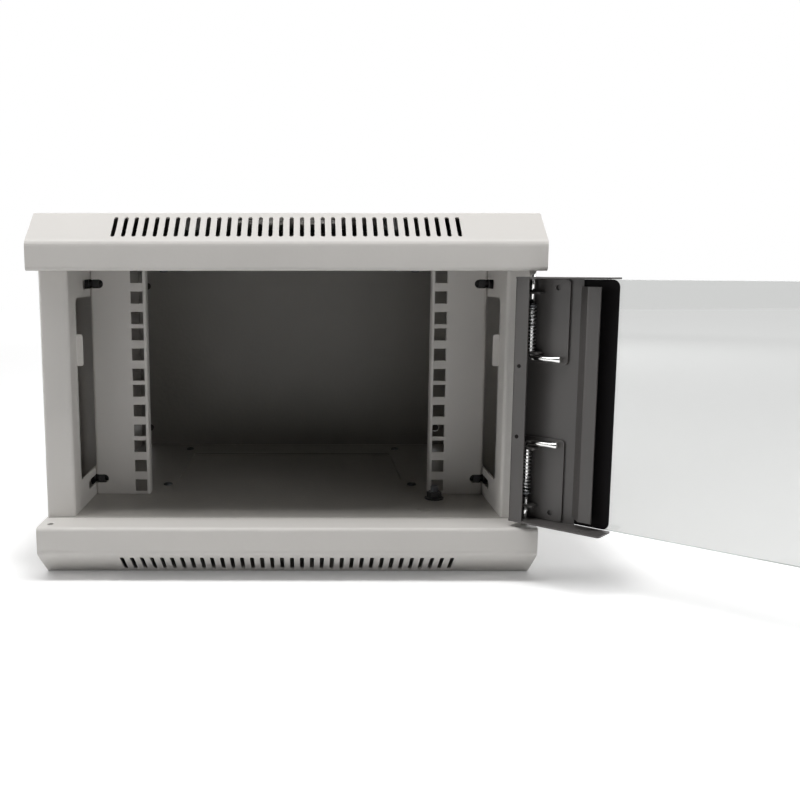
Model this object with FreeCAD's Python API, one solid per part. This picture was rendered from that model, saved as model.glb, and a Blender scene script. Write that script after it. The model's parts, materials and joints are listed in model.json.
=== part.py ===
import FreeCAD, Part
import math
import os

os.makedirs("parts", exist_ok=True)
V = FreeCAD.Vector
X_AXIS = V(1, 0, 0)
Y_AXIS = V(0, 1, 0)
Z_AXIS = V(0, 0, 1)

# Frame of the part: the wall is the plane y = 0, the front faces -Y, x = 0 is the middle plane
# and z = 0 is the middle of the height.
WIDTH = 350.0
HEIGHT = 256.5
DEPTH = 320.0
SHEET = 1.2

# Upper and lower shells: a flat plate, a sloped nose with slots, a vertical band and a lip.
SHELL_HEIGHT = 39.5
NOSE_DEPTH = 30.0
BAND_HEIGHT = 19.0
SLOPE_BACK = 26.5
LIP_RETURN = 8.0
REAR_SETBACK = 0.5

# Round corners and bends are drawn with chords of at most this turn.
CHORD_DEG = 22.5

# Vent slots on the slope.
SLOT_COUNT = 34
SLOT_PITCH = 7.08
SLOT_WIDTH = 2.9
SLOT_LENGTH = 22.5
VENT_END_CHORDS = 4
SLOT_CUT = 4.0

# Round vent in the roof.
VENT_Y = -184.0
VENT_RINGS = (16.0, 28.0, 40.0)
VENT_SLOT = 6.0
VENT_BRIDGE_DEG = 14.0

# Rack opening: four height units of 44.45 mm, holes 236.525 mm apart, 222.25 mm clear.
UNIT = 44.45
UNITS = 4
HOLE_SPREAD = 236.525
CLEAR_WIDTH = 222.25
HOLE_STEPS = (6.35, 22.225, 38.1)
HOLE_SIDE = 9.5
RACK_Z = 1.1
RAIL_Y = -220.0
RAIL_SHEET = 1.5
RAIL_FLANGE = 30.0
RAIL_RETURN = 10.0

# Side frames: pillar, inner wall and window.
WALL_X = 154.4
PILLAR_FLANGE = 18.0
WINDOW_Y = (-268.0, -62.0)
WINDOW_HALF = 67.7
TRACK_Z = 77.2
TRACK_SLOT = 7.0
TRACK_Y = (-244.0, -50.0)
TAB_WIDTH = 24.0
TAB_REACH = 12.5
TAB_CORNER = 2.5
TAB_PLACES = (-262.0, -155.0, -48.0)
STRIKE_Z = 31.0
STRIKE_HEIGHT = 23.0
STRIKE_REACH = 4.6

# Cable opening in the pans and its blanking plate.
PORT_HALF = 95.0
PORT_Y = (-168.0, -50.0)
PLATE_HALF = 109.0
PLATE_Y = (-194.0, -24.0)
PLATE_SCREW_X = 101.7
PLATE_SCREW_Y = (-186.5, -31.5)

# Fixing holes in the back.
WALL_HOLE_R = 3.5
WALL_HOLE_X = 146.0
WALL_HOLE_Z = 72.0
KEY_X = 100.0
KEY_Z = 104.0

# Earth terminal on the floor.
EARTH_X = 114.0
EARTH_Y = -234.5

# Door: local u runs from the hinge axis to the free side, v from the axis into the cabinet.
HINGE_X = 167.6
HINGE_Y = -309.5
OPEN_DEG = 138.0
DOOR_EDGE = 7.0
DOOR_REACH = 342.0
GLASS_HALF = 83.25
GLASS_THICK = 4.0
STILE_HALF = 84.75
WEB_V = -6.0
TALL_V = 11.0
SHORT_V = 3.5
STILE_WIDTH = 50.8
RAMP_START = 34.0
RAMP_END = 42.3
CAP_WIDTH = 60.5
LOCK_STILE_START = 287.0

# Spring pins.
PIN_R = 2.25
PIN_CLEARANCE = 0.08
BORE_R = PIN_R + PIN_CLEARANCE
PIN_TIP = 94.0
HANDLE_Z = 29.4
HANDLE_END = 23.3
PIN_BEND = 3.0
BEND_STEPS = 4
PIN_SIDES = 12
HANDLE_TIP = 0.8
GROOVE_R = 1.8
EAR_OUTER = 73.2
EAR_INNER = 32.4
EAR_SHEET = 1.5
EAR_WINDOW_U = 5.2
SPRING_MEAN_R = 3.0
SPRING_WIRE_R = 0.45
SPRING_TURNS = 12
SPRING_STEPS = 6
WASHER_Z = 64.7
WASHER_THICK = 1.2

# Cam lock.
LOCK_U = 305.5
LOCK_Z = STRIKE_Z
BARREL_R = 9.3
PLUG_R = 6.0
CAM_TIP = 15.6

half_width = WIDTH / 2
half_height = HEIGHT / 2
lip_z = half_height - SHELL_HEIGHT
pillar_y = -(DEPTH - NOSE_DEPTH)
lip_end = pillar_y - 1.2
GAP = 0.1


def yz(x):
    return lambda u, v: V(x, u, v)


def xz(y):
    return lambda u, v: V(u, y, v)


def xy(z):
    return lambda u, v: V(u, v, z)


def door_plane(z):
    return lambda u, v: V(HINGE_X - u, HINGE_Y + v, z)


def rounded_wire(points, radii, plane):
    # Closed outline; a corner with a radius is rounded by short chords of at most CHORD_DEG each.
    corners = []
    count = len(points)
    for i in range(count):
        px, py = points[i - 1]
        ax, ay = points[i]
        nx, ny = points[(i + 1) % count]
        r = radii[i]
        if r <= 0:
            corners.append(plane(ax, ay))
            continue
        l1 = math.hypot(px - ax, py - ay)
        l2 = math.hypot(nx - ax, ny - ay)
        d1 = ((px - ax) / l1, (py - ay) / l1)
        d2 = ((nx - ax) / l2, (ny - ay) / l2)
        dot = max(-1.0, min(1.0, d1[0] * d2[0] + d1[1] * d2[1]))
        half = math.acos(dot) / 2
        bx, by = d1[0] + d2[0], d1[1] + d2[1]
        away = r / math.sin(half) / math.hypot(bx, by)
        cx, cy = ax + bx * away, ay + by * away
        reach = r / math.tan(half)
        start = math.atan2(ay + d1[1] * reach - cy, ax + d1[0] * reach - cx)
        turn = math.pi - 2 * half
        if d1[0] * d2[1] - d1[1] * d2[0] > 0:
            turn = -turn
        chords = max(1, math.ceil(abs(math.degrees(turn)) / CHORD_DEG - 1e-6))
        for step in range(chords + 1):
            angle = start + turn * step / chords
            corners.append(plane(cx + r * math.cos(angle), cy + r * math.sin(angle)))
    kept = []
    for corner in corners:
        if not kept or corner.distanceToPoint(kept[-1]) > 1e-6:
            kept.append(corner)
    if kept[0].distanceToPoint(kept[-1]) < 1e-6:
        kept.pop()
    return Part.makePolygon(kept + kept[:1])


def plate(points, radii, plane, run):
    if not isinstance(radii, (list, tuple)):
        radii = [radii] * len(points)
    return Part.Face(rounded_wire(points, radii, plane)).extrude(run)


def offset_path(path, t):
    # Mitred copy of an open path, moved to its left by t.
    moved = []
    for i, (x, y) in enumerate(path):
        normals = []
        if i > 0:
            dx, dy = x - path[i - 1][0], y - path[i - 1][1]
            length = math.hypot(dx, dy)
            normals.append((-dy / length, dx / length))
        if i < len(path) - 1:
            dx, dy = path[i + 1][0] - x, path[i + 1][1] - y
            length = math.hypot(dx, dy)
            normals.append((-dy / length, dx / length))
        if len(normals) == 1:
            nx, ny = normals[0]
            moved.append((x + nx * t, y + ny * t))
        else:
            sx = normals[0][0] + normals[1][0]
            sy = normals[0][1] + normals[1][1]
            k = 1 + normals[0][0] * normals[1][0] + normals[0][1] * normals[1][1]
            moved.append((x + sx / k * t, y + sy / k * t))
    return moved


def folded(path, t, bend, plane, run):
    # Bent sheet: the path is one face of it, the other lies t to the left, bend is the inner radius.
    other = offset_path(path, t)
    thick = abs(t)
    near = [0.0] * len(path)
    far = [0.0] * len(path)
    for i in range(1, len(path) - 1):
        ax, ay = path[i][0] - path[i - 1][0], path[i][1] - path[i - 1][1]
        bx, by = path[i + 1][0] - path[i][0], path[i + 1][1] - path[i][1]
        r = bend[i - 1] if isinstance(bend, (list, tuple)) else bend
        inside_is_far = (ax * by - ay * bx) * t > 0
        near[i] = r + thick if inside_is_far else r
        far[i] = r if inside_is_far else r + thick
    points = list(path) + other[::-1]
    radii = near + far[::-1]
    return Part.Face(rounded_wire(points, radii, plane)).extrude(run)


def box(x0, x1, y0, y1, z0, z1):
    return Part.makeBox(x1 - x0, y1 - y0, z1 - z0, V(x0, y0, z0))


def rod(r, start, direction, length):
    return Part.makeCylinder(r, length, start, direction)


def polygon(sides, r, centre, axis):
    # Closed many-sided wire round a centre, with its corners on the radius.
    first = X_AXIS if abs(axis.x) < 0.9 else Z_AXIS
    second = axis.cross(first)
    corners = []
    for i in range(sides + 1):
        a = 2 * math.pi * i / sides
        corners.append(centre + first * (r * math.cos(a)) + second * (r * math.sin(a)))
    return Part.makePolygon(corners)


def tube_of_sections(sections):
    # Solid through flat sections with equal counts of corners; each side is split into triangles.
    faces = [Part.Face(Part.makePolygon(sections[0] + sections[0][:1]))]
    for low, high in zip(sections, sections[1:]):
        for k in range(len(low)):
            m = (k + 1) % len(low)
            faces.append(Part.Face(Part.makePolygon([low[k], low[m], high[m], low[k]])))
            faces.append(Part.Face(Part.makePolygon([low[k], high[m], high[k], low[k]])))
    faces.append(Part.Face(Part.makePolygon(sections[-1] + sections[-1][:1])))
    skin = Part.makeCompound(faces)
    skin.sewShape()
    return Part.Solid(skin.Shells[0])


def prism(sides, r, start, direction, length):
    return Part.Face(polygon(sides, r, start, direction)).extrude(direction * length)


def prism_ring(sides, outer, inner, start, direction, length):
    return prism(sides, outer, start, direction, length).cut(prism(sides, inner, start, direction, length))


def mirror_x(shape):
    return shape.mirror(V(0, 0, 0), X_AXIS)


def mirror_z(shape):
    return shape.mirror(V(0, 0, 0), Z_AXIS)


def round_slot(centre, along, across, through, length, width, end_chords):
    # Prism of a slot centred on a point; each round end is made of short chords.
    r = width / 2
    straight = (length - width) / 2
    start = centre - through * SLOT_CUT
    corners = []
    for end in (1, -1):
        for step in range(end_chords + 1):
            a = math.pi * step / end_chords
            far = along * (end * (straight + r * math.sin(a)))
            corners.append(start + far + across * (end * r * math.cos(a)))
    corners.append(corners[0])
    return Part.Face(Part.makePolygon(corners)).extrude(through * (2 * SLOT_CUT))


def hexagon(flats, centre, axis, first, thick):
    second = axis.cross(first)
    r = flats / math.sqrt(3)
    corners = []
    for i in range(7):
        a = math.radians(60 * i)
        corners.append(centre + first * (r * math.cos(a)) + second * (r * math.sin(a)))
    return Part.Face(Part.makePolygon(corners)).extrude(axis * thick)


def is_ring_at(edge, centre):
    if not hasattr(edge.Curve, "Center") or not hasattr(edge.Curve, "Radius"):
        return False
    return edge.Curve.Center.distanceToPoint(centre) < 1e-6


def arc_slot(centre, inner, outer, a0, a1, height):
    # Prism over a piece of a ring between two angles.
    steps = math.ceil(math.degrees(a1 - a0) / CHORD_DEG)
    turns = [a0 + (a1 - a0) * i / steps for i in range(steps + 1)]
    corners = [centre + V(outer * math.cos(a), outer * math.sin(a), 0) for a in turns]
    corners += [centre + V(inner * math.cos(a), inner * math.sin(a), 0) for a in turns[::-1]]
    return Part.Face(Part.makePolygon(corners + corners[:1])).extrude(Z_AXIS * height)


def pan_screw(face, inward, head_r, head_h, shank_r, length):
    # Screw whose head rests on a face; the shank goes inward from there.
    head = prism(8, head_r, face, inward * -1, head_h)
    return head.fuse(prism(6, shank_r, face, inward, length)).removeSplitter()


shapes = {}


# Shells. The outline runs from the wall over the top and down the nose to the end of the lip.
crease_z = lip_z + BAND_HEIGHT
slope_y = -DEPTH + SLOPE_BACK
outline = [
    (-REAR_SETBACK, half_height),
    (slope_y, half_height),
    (-DEPTH, crease_z),
    (-DEPTH, lip_z),
    (lip_end, lip_z),
    (lip_end, lip_z + LIP_RETURN),
]
skin_x = half_width - SHEET
shell = folded(outline, SHEET, [3.0, 4.5, 1.5, 0.8], yz(-skin_x), X_AXIS * (2 * skin_x))
skirt_points = outline[:4] + [(-REAR_SETBACK, lip_z)]
for side in (-1, 1):
    start_x = side * half_width if side < 0 else half_width - SHEET
    skirt = plate(skirt_points, [0, 4.2, 5.7, 2.7, 0], yz(start_x), X_AXIS * SHEET)
    shell = shell.fuse(skirt)
shell = shell.removeSplitter()


slope_len = math.hypot(SLOPE_BACK, half_height - crease_z)
slope_dir = V(0, SLOPE_BACK / slope_len, (half_height - crease_z) / slope_len)
slope_normal = slope_dir.cross(X_AXIS)
slope_mid = V(0, (slope_y - DEPTH) / 2, (half_height + crease_z) / 2) + slope_dir * 0.6
vents = []
for i in range(SLOT_COUNT):
    at = slope_mid + X_AXIS * ((i - (SLOT_COUNT - 1) / 2) * SLOT_PITCH)
    vents.append(round_slot(at, slope_dir, X_AXIS, slope_normal, SLOT_LENGTH, SLOT_WIDTH, VENT_END_CHORDS))
shell = shell.cut(Part.makeCompound(vents))

hinge_bores = []
for side in (-1, 1):
    bore_at = V(side * HINGE_X, HINGE_Y, lip_z - 1)
    if side > 0:
        hinge_bores.append(rod(BORE_R, bore_at, Z_AXIS, 4))
    else:
        hinge_bores.append(prism(12, BORE_R, bore_at, Z_AXIS, 4))
    screw_spot = V(side * (half_width - 3), -9.0, half_height - SHELL_HEIGHT / 2)
    hinge_bores.append(prism(8, 2.2, screw_spot, X_AXIS * side, 6))
shell = shell.cut(Part.makeCompound(hinge_bores))

grille = []
vent_centre = V(0, VENT_Y, half_height - SHEET - 1)
half_bridge = VENT_BRIDGE_DEG / 2
for radius in VENT_RINGS:
    for quarter in range(4):
        a0 = math.radians(90 * quarter + half_bridge)
        a1 = math.radians(90 * (quarter + 1) - half_bridge)
        inner = radius - VENT_SLOT / 2
        grille.append(arc_slot(vent_centre, inner, inner + VENT_SLOT, a0, a1, SHEET + 2))
port = plate(
    [(-PORT_HALF, PORT_Y[0]), (PORT_HALF, PORT_Y[0]), (PORT_HALF, PORT_Y[1]), (-PORT_HALF, PORT_Y[1])],
    4.0, xy(-half_height - 1), Z_AXIS * (SHEET + 2))
shapes["roof_shell"] = shell.cut(Part.makeCompound(grille))
shapes["base_shell"] = mirror_z(shell).cut(port)

# Pans: the inside floor and the inside ceiling, one form turned over.
pan_top = -lip_z
pan_front = pillar_y - 0.8
pan_half = half_width - SHEET - 0.05
rear_inner = -SHEET - GAP
notch_half = half_width - SHEET - 1.6
pan = plate(
    [(-pan_half, pan_front), (pan_half, pan_front), (pan_half, -16.5), (notch_half, -16.5),
     (notch_half, rear_inner), (-notch_half, rear_inner), (-notch_half, -16.5), (-pan_half, -16.5)],
    0, xy(pan_top - SHEET), Z_AXIS * SHEET)
pan = pan.fuse(box(-pan_half, pan_half, pan_front, pan_front + SHEET, pan_top - 12, pan_top - SHEET))
pan = pan.fuse(box(pan_half - SHEET, pan_half, pan_front, -20, pan_top - 12, pan_top - SHEET))
pan = pan.fuse(box(-pan_half, -pan_half + SHEET, pan_front, -20, pan_top - 12, pan_top - SHEET))
pan = pan.removeSplitter()
front_fold = [e for e in pan.Edges
              if e.BoundBox.YLength < 1e-4 and abs(e.BoundBox.YMin - pan_front) < 1e-4
              and abs(e.BoundBox.ZMin - pan_top) < 1e-4 and e.BoundBox.ZLength < 1e-4]
pan = pan.makeFillet(1.0, front_fold)
pan = pan.cut(plate(
    [(-PORT_HALF, PORT_Y[0]), (PORT_HALF, PORT_Y[0]), (PORT_HALF, PORT_Y[1]), (-PORT_HALF, PORT_Y[1])],
    4.0, xy(pan_top - 3), Z_AXIS * 5))
screw_x = WALL_X + SHEET + TAB_REACH * 0.52
for side in (-1, 1):
    for y in PLATE_SCREW_Y:
        pan = pan.cut(prism(8, 2.3, V(side * PLATE_SCREW_X, y, pan_top - 3), Z_AXIS, 5))
    for y in TAB_PLACES:
        pan = pan.cut(prism(8, 2.2, V(side * screw_x, y, pan_top - 3), Z_AXIS, 5))
shapes["ceiling_pan"] = mirror_z(pan)
earth_bore = prism(12, 3.15, V(EARTH_X, EARTH_Y, pan_top - 3), Z_AXIS, 5)
shapes["floor_pan"] = pan.cut(earth_bore)

# Blanking plates over the cable openings, on the hidden side of the pans.
plate_top = pan_top - SHEET - 0.05
blank = plate(
    [(-PLATE_HALF, PLATE_Y[0]), (PLATE_HALF, PLATE_Y[0]),
     (PLATE_HALF, PLATE_Y[1]), (-PLATE_HALF, PLATE_Y[1])],
    3.0, xy(plate_top - SHEET), Z_AXIS * SHEET)
plate_screws = []
for side in (-1, 1):
    for y in PLATE_SCREW_Y:
        blank = blank.cut(prism(8, 2.1, V(side * PLATE_SCREW_X, y, plate_top - 3), Z_AXIS, 5))
        seat = V(side * PLATE_SCREW_X, y, pan_top + 0.02)
        plate_screws.append(pan_screw(seat, Z_AXIS * -1, 3.6, 1.9, 1.95, 7.0))
shapes["cable_plate_bottom"] = blank
shapes["cable_plate_top"] = mirror_z(blank)
shapes["cable_plate_screws"] = Part.makeCompound(plate_screws + [mirror_z(s) for s in plate_screws])

# Earth terminal.
earth_base = V(EARTH_X, EARTH_Y, pan_top + 0.05)
stud = prism(12, 3.0, V(EARTH_X, EARTH_Y, pan_top - SHEET - 1.5), Z_AXIS, 13.5)
stud = stud.fuse(prism(12, 4.5, V(EARTH_X, EARTH_Y, pan_top - SHEET - 1.5), Z_AXIS, 1.45))
shapes["earth_stud"] = stud
shapes["earth_washer"] = prism_ring(16, 7.5, 3.3, earth_base, Z_AXIS, 1.3)
nut_base = earth_base + Z_AXIS * 1.35
shapes["earth_nut"] = hexagon(10.0, nut_base, Z_AXIS, X_AXIS, 4.6).cut(prism(12, 3.05, nut_base, Z_AXIS, 5))

# Side frame of the right side: pillar flange, pillar, inner wall and a rear flange, one bent sheet.
wall_half = lip_z - 0.15
frame_path = [
    (half_width, pillar_y + PILLAR_FLANGE),
    (half_width, pillar_y),
    (WALL_X, pillar_y),
    (WALL_X, rear_inner),
    (half_width - SHEET - 2.0, rear_inner),
]
frame = folded(frame_path, -SHEET, [1.2, 1.6, 1.0], xy(-wall_half), Z_AXIS * (2 * wall_half))
window = plate(
    [(WINDOW_Y[0], RACK_Z - WINDOW_HALF), (WINDOW_Y[1], RACK_Z - WINDOW_HALF),
     (WINDOW_Y[1], RACK_Z + WINDOW_HALF), (WINDOW_Y[0], RACK_Z + WINDOW_HALF)],
    5.0, yz(WALL_X - 2), X_AXIS * 5)
frame = frame.cut(window)
track_mid = (TRACK_Y[0] + TRACK_Y[1]) / 2
track_len = TRACK_Y[1] - TRACK_Y[0]
for z in (RACK_Z - TRACK_Z, RACK_Z + TRACK_Z):
    track = V(WALL_X, track_mid, z)
    frame = frame.cut(round_slot(track, Y_AXIS, Z_AXIS, X_AXIS, track_len, TRACK_SLOT, 8))
strike = plate(
    [(WALL_X + SHEET, STRIKE_Z - STRIKE_HEIGHT / 2), (WALL_X - STRIKE_REACH, STRIKE_Z - STRIKE_HEIGHT / 2),
     (WALL_X - STRIKE_REACH, STRIKE_Z + STRIKE_HEIGHT / 2), (WALL_X + SHEET, STRIKE_Z + STRIKE_HEIGHT / 2)],
    [0, 1.5, 1.5, 0], xz(WINDOW_Y[0] - SHEET), Y_AXIS * SHEET)
frame = frame.fuse(strike)
frame_screw_list = []
tab_end = WALL_X + SHEET + TAB_REACH
for y in TAB_PLACES:
    for level in (-1, 1):
        z0 = -wall_half if level < 0 else wall_half - SHEET
        tab = plate(
            [(WALL_X, y - TAB_WIDTH / 2), (tab_end - TAB_CORNER, y - TAB_WIDTH / 2),
             (tab_end, y - TAB_WIDTH / 2 + TAB_CORNER), (tab_end, y + TAB_WIDTH / 2 - TAB_CORNER),
             (tab_end - TAB_CORNER, y + TAB_WIDTH / 2), (WALL_X, y + TAB_WIDTH / 2)],
            0, xy(z0), Z_AXIS * SHEET)
        frame = frame.fuse(tab)
        frame = frame.cut(prism(8, 2.3, V(screw_x, y, z0 - 1), Z_AXIS, 4))
        seat = V(screw_x, y, level * (wall_half - SHEET - 0.02))
        frame_screw_list.append(pan_screw(seat, Z_AXIS * level, 3.6, 1.9, 1.95, 6.5))
frame = frame.removeSplitter()
shapes["side_frame_right"] = frame
shapes["side_frame_left"] = mirror_x(frame)
shapes["frame_screws"] = Part.makeCompound(frame_screw_list + [mirror_x(s) for s in frame_screw_list])

# Back panel: a tray whose four flanges point forward inside the shells and side covers.
back_half_x = half_width - SHEET - 0.2
back_half_z = half_height - SHEET - 0.1
back = box(-back_half_x, back_half_x, -SHEET, 0, -back_half_z, back_half_z)
for side in (-1, 1):
    x0 = side * back_half_x if side < 0 else back_half_x - SHEET
    back = back.fuse(box(x0, x0 + SHEET, -15, -SHEET, -back_half_z, back_half_z))
    z0 = side * back_half_z if side < 0 else back_half_z - SHEET
    back = back.fuse(box(-back_half_x + SHEET, back_half_x - SHEET, -15, -SHEET, z0, z0 + SHEET))
back = back.removeSplitter()
cover_screw_list = []
for side in (-1, 1):
    for level in (-1, 1):
        hole = V(side * WALL_HOLE_X, -3, level * WALL_HOLE_Z)
        back = back.cut(rod(WALL_HOLE_R, hole, Y_AXIS, 5))
        for z in (60.0, half_height - SHELL_HEIGHT / 2):
            spot = V(side * half_width, -9.0, level * z)
            back = back.cut(prism(8, 2.1, spot - X_AXIS * (side * 6), X_AXIS * side, 6))
            seat = spot + X_AXIS * (side * 0.02)
            cover_screw_list.append(pan_screw(seat, X_AXIS * -side, 3.8, 1.8, 1.95, 6.0))
    key = V(side * KEY_X, -3, KEY_Z)
    back = back.cut(prism(16, 6.0, key, Y_AXIS, 5))
    key_slot = V(side * KEY_X, 0, KEY_Z + 4.5)
    back = back.cut(round_slot(key_slot, Z_AXIS, X_AXIS, Y_AXIS, 13.0, 6.6, 8))
shapes["back_panel"] = back
shapes["cover_screws"] = Part.makeCompound(cover_screw_list)

# Side cover of the right side, with a stepped front lip inside the pillar flange and a pressed hook.
cover_front = pillar_y + PILLAR_FLANGE + 0.5
cover_path = [
    (half_width, -REAR_SETBACK),
    (half_width, cover_front),
    (half_width - 1.5, cover_front),
    (half_width - 1.5, cover_front - 13.0),
]
cover_half = lip_z - 0.3
cover = folded(cover_path, -SHEET, 0.15, xy(-cover_half), Z_AXIS * (2 * cover_half))
inner_x = half_width - SHEET
for level in (-1, 1):
    z0 = -cover_half if level < 0 else cover_half - SHEET
    cover = cover.fuse(box(inner_x - 4.5, inner_x, cover_front + 2, -22, z0, z0 + SHEET))
    cover = cover.cut(prism(8, 2.2, V(inner_x - 2, -9.0, level * 60.0), X_AXIS, 6))
hook = folded([(inner_x + 0.5, 66.0), (inner_x - 6.0, 66.0), (inner_x - 6.0, 56.0)], SHEET, 0.6,
              xz(-262.0), Y_AXIS * 12)
cover = cover.fuse(hook).removeSplitter()
shapes["side_cover_right"] = cover
shapes["side_cover_left"] = mirror_x(cover)

# Rack rail of the right side: a return at the clear opening, the face with its holes, a wall flange.
rail_half = wall_half - 0.1
rail_in = CLEAR_WIDTH / 2
rail_out = WALL_X - GAP
rail = folded(
    [(rail_in, RAIL_Y + RAIL_RETURN), (rail_in, RAIL_Y), (rail_out, RAIL_Y),
     (rail_out, RAIL_Y + RAIL_FLANGE)],
    RAIL_SHEET, 0.8, xy(-rail_half), Z_AXIS * (2 * rail_half))
holes = []
first = RACK_Z - UNITS * UNIT / 2
reach = HOLE_SIDE / 2
for unit in range(UNITS):
    for step in HOLE_STEPS:
        z = first + unit * UNIT + step
        x = HOLE_SPREAD / 2
        holes.append(box(x - reach, x + reach, RAIL_Y - 1, RAIL_Y + RAIL_SHEET + 1, z - reach, z + reach))
bolt_y = RAIL_Y + 7.0
notch = 6.8
bolts = []
nuts = []
for level in (-1, 1):
    z = RACK_Z + level * TRACK_Z
    holes.append(plate(
        [(rail_out - 10.2, z - notch / 2), (rail_out + 1, z - notch / 2),
         (rail_out + 1, z + notch / 2), (rail_out - 10.2, z + notch / 2)],
        [3.3, 0, 0, 3.3], xz(RAIL_Y - 1), Y_AXIS * (bolt_y - RAIL_Y + 1)))
    holes.append(prism(12, 3.3, V(rail_out - 4, bolt_y, z), X_AXIS, 6))
    shank_end = V(rail_out - 10.0, bolt_y, z)
    head_at = V(WALL_X + SHEET + 0.1, bolt_y, z)
    shank = prism(12, 3.0, shank_end, X_AXIS, head_at.x - shank_end.x)
    head = prism(12, 6.0, head_at, X_AXIS, 3.2)
    bolts.append(shank.fuse(head))
    nut_at = V(rail_out - RAIL_SHEET - 0.05 - 4.8, bolt_y, z)
    nuts.append(hexagon(10.0, nut_at, X_AXIS, Z_AXIS, 4.8).cut(prism(12, 3.05, nut_at, X_AXIS, 5)))
rail = rail.cut(Part.makeCompound(holes))
shapes["rail_right"] = rail
shapes["rail_left"] = mirror_x(rail)
shapes["rail_bolts_right"] = Part.makeCompound(bolts)
shapes["rail_bolts_left"] = Part.makeCompound([mirror_x(s) for s in bolts])
shapes["rail_nuts_right"] = Part.makeCompound(nuts)
shapes["rail_nuts_left"] = Part.makeCompound([mirror_x(s) for s in nuts])


# Door pieces are built with the door closed and then turned open about the hinge axis.
door = {}


def door_box(u0, u1, v0, v1, z0, z1):
    return box(HINGE_X - u1, HINGE_X - u0, HINGE_Y + v0, HINGE_Y + v1, z0, z1)


def door_point(u, v, z):
    return V(HINGE_X - u, HINGE_Y + v, z)


glass_v = WEB_V - GLASS_THICK
glass = plate(
    [(HINGE_X + DOOR_EDGE, -GLASS_HALF), (HINGE_X - DOOR_REACH, -GLASS_HALF),
     (HINGE_X - DOOR_REACH, GLASS_HALF), (HINGE_X + DOOR_EDGE, GLASS_HALF)],
    3.0, xz(HINGE_Y + glass_v), Y_AXIS * GLASS_THICK)
lock_at = door_point(LOCK_U, glass_v - 1, LOCK_Z)
door["door_glass"] = glass.cut(prism(24, BARREL_R + 0.5, lock_at, Y_AXIS, GLASS_THICK + 2))

inner_half = STILE_HALF - SHEET
web_face = WEB_V + 0.03


def stile(path, t, trim_u, trim_v, cap_points, hole_u):
    # Bent profile with two end caps; the raised flange stops before the caps.
    body = folded(path, t, 0.8, door_plane(-inner_half - 0.1), Z_AXIS * (2 * inner_half + 0.2))
    for level in (-1, 1):
        z0 = inner_half - 5 if level > 0 else -inner_half - 1
        body = body.cut(door_box(trim_u[0], trim_u[1], trim_v, SHORT_V + 1, z0, z0 + 6))
        cap_z = inner_half if level > 0 else -STILE_HALF
        body = body.fuse(plate(cap_points, [0.8, 0.8, 2.0, 2.0], door_plane(cap_z), Z_AXIS * SHEET))
        body = body.cut(prism(10, 1.6, door_point(hole_u, 6.0, cap_z - 1), Z_AXIS, 4))
    return body.removeSplitter()


hinge_stile = stile(
    [(3.6, TALL_V), (-DOOR_EDGE, TALL_V), (-DOOR_EDGE, web_face), (RAMP_START, web_face),
     (RAMP_END, SHORT_V - SHEET), (STILE_WIDTH, SHORT_V - SHEET)],
    SHEET, (RAMP_START - 1.0, STILE_WIDTH + 1.0), web_face + SHEET + 0.02,
    [(-DOOR_EDGE, web_face), (CAP_WIDTH, web_face), (CAP_WIDTH, TALL_V + 0.5), (-DOOR_EDGE, TALL_V + 0.5)],
    44.5)
for level in (-1, 1):
    hinge_stile = hinge_stile.cut(rod(BORE_R, door_point(0, 0, level * STILE_HALF - 2), Z_AXIS, 4))
    hinge_stile = hinge_stile.cut(prism(10, 1.5, door_point(-2.2, TALL_V - 3, level * 24.4), Y_AXIS, 5))
door["hinge_stile"] = hinge_stile

lock_stile = stile(
    [(DOOR_REACH - 10.6, TALL_V), (DOOR_REACH, TALL_V), (DOOR_REACH, web_face),
     (LOCK_STILE_START, web_face), (LOCK_STILE_START, SHORT_V), (LOCK_STILE_START + 8.5, SHORT_V)],
    -SHEET, (LOCK_STILE_START - 0.5, LOCK_STILE_START + 9.5), SHORT_V - SHEET - 2.2,
    [(DOOR_REACH, web_face), (LOCK_STILE_START - 10, web_face), (LOCK_STILE_START - 10, TALL_V + 0.5),
     (DOOR_REACH, TALL_V + 0.5)],
    LOCK_STILE_START + 6.5)
door["lock_stile"] = lock_stile.cut(prism(24, BARREL_R + 0.15, lock_at, Y_AXIS, GLASS_THICK + 4))


def lower_or_upper(shape, level):
    return shape if level > 0 else mirror_z(shape)


def pin_section(centre, toward_axis, r):
    corners = []
    for k in range(PIN_SIDES):
        angle = 2 * math.pi * k / PIN_SIDES
        corners.append(centre + toward_axis * (r * math.cos(angle)) - Y_AXIS * (r * math.sin(angle)))
    return corners


# Hinge bracket: a plate on the web with two ears lanced out of it, which guide the pin.
bracket_v = web_face + SHEET + 0.02
bracket = plate(
    [(-4.8, 25.8), (26.4, 25.8), (26.4, 83.1), (-4.8, 83.1)], [1.0, 2.5, 2.5, 1.0],
    lambda u, z: V(HINGE_X - u, HINGE_Y + bracket_v, z), Y_AXIS * EAR_SHEET)
for z in (EAR_OUTER, EAR_INNER):
    bracket = bracket.fuse(plate(
        [(-4.8, bracket_v), (8.0, bracket_v), (8.0, 4.6), (-4.8, 4.6)], [0, 0, 2.0, 2.0],
        door_plane(z), Z_AXIS * EAR_SHEET))
    bracket = bracket.cut(rod(BORE_R, door_point(0, 0, z - 1), Z_AXIS, EAR_SHEET + 2))
window_v = bracket_v + EAR_SHEET
bracket = bracket.cut(door_box(-5, EAR_WINDOW_U, bracket_v - 1, window_v, EAR_INNER + EAR_SHEET, EAR_OUTER))
bracket = bracket.cut(prism(12, 2.0, door_point(17.8, bracket_v - 1, 77.8), Y_AXIS, 4)).removeSplitter()

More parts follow.
